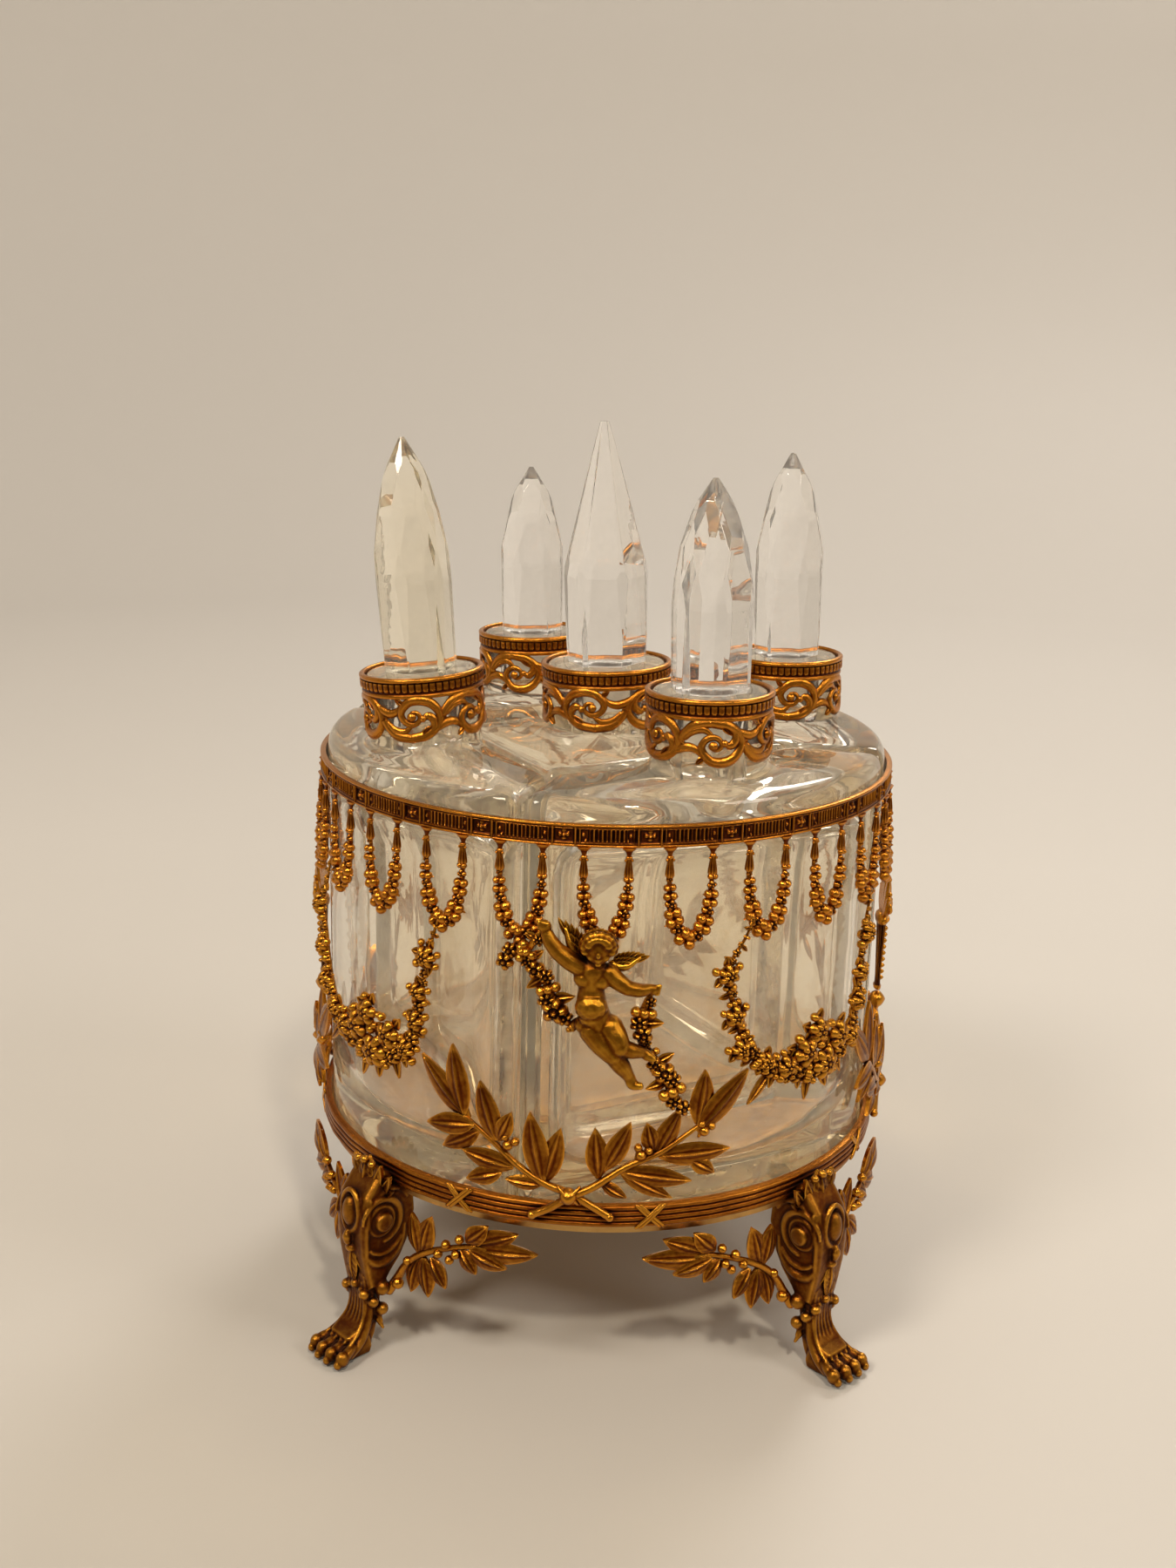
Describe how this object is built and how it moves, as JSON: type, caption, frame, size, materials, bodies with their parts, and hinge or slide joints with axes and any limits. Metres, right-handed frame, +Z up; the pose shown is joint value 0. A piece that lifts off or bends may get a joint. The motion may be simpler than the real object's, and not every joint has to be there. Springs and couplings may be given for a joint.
{
  "type": "perfume casket",
  "caption": "Round gilt bronze openwork stand on lion-paw legs holding fitted cut glass scent bottles with pierced collars and tall lift-out glass stoppers.",
  "frame": {"origin": "on the ground under the centre of the stand, in the plane of the four paw soles", "axes": "+Z up, -Y towards the front, where one of the two figure panels is; the legs stand on the diagonals"},
  "size_m": [0.1302, 0.1396, 0.1899],
  "materials": {
    "gilt_bronze": "gilt cast bronze, chased and rubbed, copper-red in the hollows",
    "gilt_bronze_aged": "duller gilding, worn grey-gold on the ankles, bright on the toes",
    "plate_brass": "plain sheet, dull",
    "screw_brass": "plain turned",
    "glass": "clear cut and polished"
  },
  "bodies": {
    "stand": {"base_plate": "plate_brass", "lower_ring": "gilt_bronze", "ribbon_ties": "gilt_bronze", "upper_band": "gilt_bronze", "band_rosettes": "gilt_bronze", "band_festoons": "gilt_bronze", "leg_screws": "screw_brass", "laurel_front": "gilt_bronze", "laurel_right": "gilt_bronze", "laurel_back": "gilt_bronze", "laurel_left": "gilt_bronze", "putto_front": "gilt_bronze", "putto_back": "gilt_bronze", "torch_right": "gilt_bronze", "torch_left": "gilt_bronze", "flower_garland_front_left": "gilt_bronze", "flower_garland_front_right": "gilt_bronze", "flower_garland_back_right": "gilt_bronze", "flower_garland_back_left": "gilt_bronze", "leg_front_left": "gilt_bronze_aged", "leg_front_right": "gilt_bronze_aged", "leg_back_right": "gilt_bronze_aged", "leg_back_left": "gilt_bronze_aged", "spray_front_left_left": "gilt_bronze", "spray_front_left_right": "gilt_bronze", "spray_front_right_left": "gilt_bronze", "spray_front_right_right": "gilt_bronze", "spray_back_right_left": "gilt_bronze", "spray_back_right_right": "gilt_bronze", "spray_back_left_left": "gilt_bronze", "spray_back_left_right": "gilt_bronze"},
    "bottle_centre_body": {"bottle_centre": "glass", "collar_centre": "gilt_bronze"},
    "stopper_centre_body": {"stopper_centre": "glass"},
    "bottle_front_body": {"bottle_front": "glass", "collar_front": "gilt_bronze"},
    "stopper_front_body": {"stopper_front": "glass"},
    "bottle_right_body": {"bottle_right": "glass", "collar_right": "gilt_bronze"},
    "stopper_right_body": {"stopper_right": "glass"},
    "bottle_back_body": {"bottle_back": "glass", "collar_back": "gilt_bronze"},
    "stopper_back_body": {"stopper_back": "glass"},
    "bottle_left_body": {"bottle_left": "glass", "collar_left": "gilt_bronze"},
    "stopper_left_body": {"stopper_left": "glass"}
  },
  "joints": [
    {"name": "bottle_centre_lift", "type": "slide", "parent": "stand", "child": "bottle_centre_body", "axis": [0, 0, 1], "range_m": [0, 0.086]},
    {"name": "stopper_centre_lift", "type": "slide", "parent": "bottle_centre_body", "child": "stopper_centre_body", "axis": [-0.0332, 0, 0.9995], "range_m": [0, 0.025]},
    {"name": "bottle_front_lift", "type": "slide", "parent": "stand", "child": "bottle_front_body", "axis": [0, 0, 1], "range_m": [0, 0.086]},
    {"name": "stopper_front_lift", "type": "slide", "parent": "bottle_front_body", "child": "stopper_front_body", "axis": [-0.014, 0, 0.9999], "range_m": [0, 0.025]},
    {"name": "bottle_right_lift", "type": "slide", "parent": "stand", "child": "bottle_right_body", "axis": [0, 0, 1], "range_m": [0, 0.086]},
    {"name": "stopper_right_lift", "type": "slide", "parent": "bottle_right_body", "child": "stopper_right_body", "axis": [-0.0157, 0, 0.9999], "range_m": [0, 0.025]},
    {"name": "bottle_back_lift", "type": "slide", "parent": "stand", "child": "bottle_back_body", "axis": [0, 0, 1], "range_m": [0, 0.086]},
    {"name": "stopper_back_lift", "type": "slide", "parent": "bottle_back_body", "child": "stopper_back_body", "axis": [-0.0227, 0, 0.9997], "range_m": [0, 0.025]},
    {"name": "bottle_left_lift", "type": "slide", "parent": "stand", "child": "bottle_left_body", "axis": [0, 0, 1], "range_m": [0, 0.086]},
    {"name": "stopper_left_lift", "type": "slide", "parent": "bottle_left_body", "child": "stopper_left_body", "axis": [-0.0837, 0, 0.9965], "range_m": [0, 0.025]}
  ]
}
